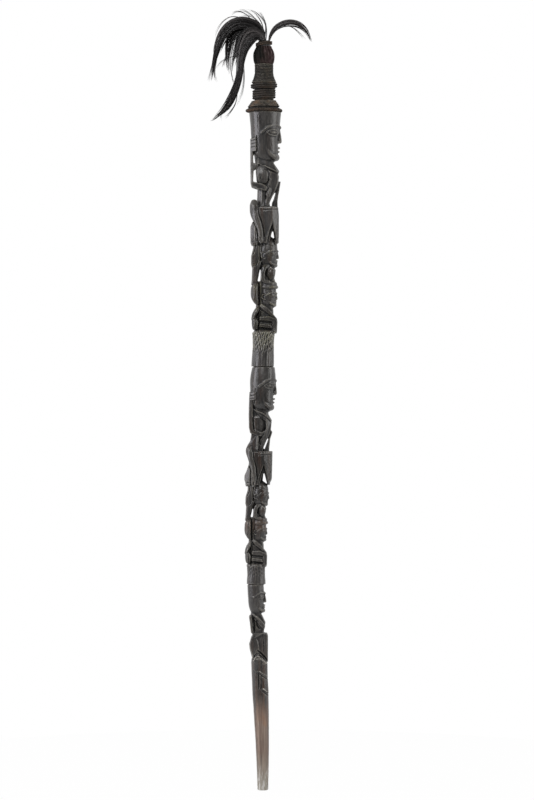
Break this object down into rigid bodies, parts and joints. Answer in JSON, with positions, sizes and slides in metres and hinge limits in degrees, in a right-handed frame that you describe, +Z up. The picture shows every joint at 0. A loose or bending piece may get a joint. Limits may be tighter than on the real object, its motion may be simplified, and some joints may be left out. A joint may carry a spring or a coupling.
{
  "type": "ritual staff",
  "caption": "Tall slender carved hardwood staff of stacked figures facing one way, with two fluted bands, a cord and cloth bound finial and a black hair plume.",
  "frame": {"origin": "centre of the flat end of the foot", "axes": "+Z up the staff, +X the way the carved figures face"},
  "size_m": [0.2155, 0.0774, 1.6405],
  "materials": {
    "patinated_wood": "smoke-blackened hardwood, worn grey on its high edges",
    "plug_wood": "raw brown wood",
    "paste": "dried dark paste",
    "brown_fibre": "matted plant fibre",
    "brown_cord": "twisted plant fibre cord, dusty",
    "black_cord": "twisted cord, resin-blackened",
    "olive_weave": "fine corded weave",
    "dark_cloth": "old dark red-brown cloth",
    "black_hair": "glossy black hair"
  },
  "bodies": {
    "root": {"carved_staff": "patinated_wood", "pupuk_paste": "paste", "cavity_plug": "plug_wood", "turban_pad": "brown_fibre", "turban_rim_rope": "brown_cord", "turban_winding": "brown_cord", "neck_pad": "brown_fibre", "neck_winding": "black_cord", "ridge_winding": "black_cord", "woven_sleeve": "olive_weave", "gathered_cloth": "dark_cloth", "top_tie_cord": "brown_cord", "hair_roots": "black_hair", "near_long_hank": "black_hair", "middle_hank": "black_hair", "far_hank": "black_hair", "front_curl": "black_hair", "top_wisp": "black_hair"}
  },
  "joints": []
}
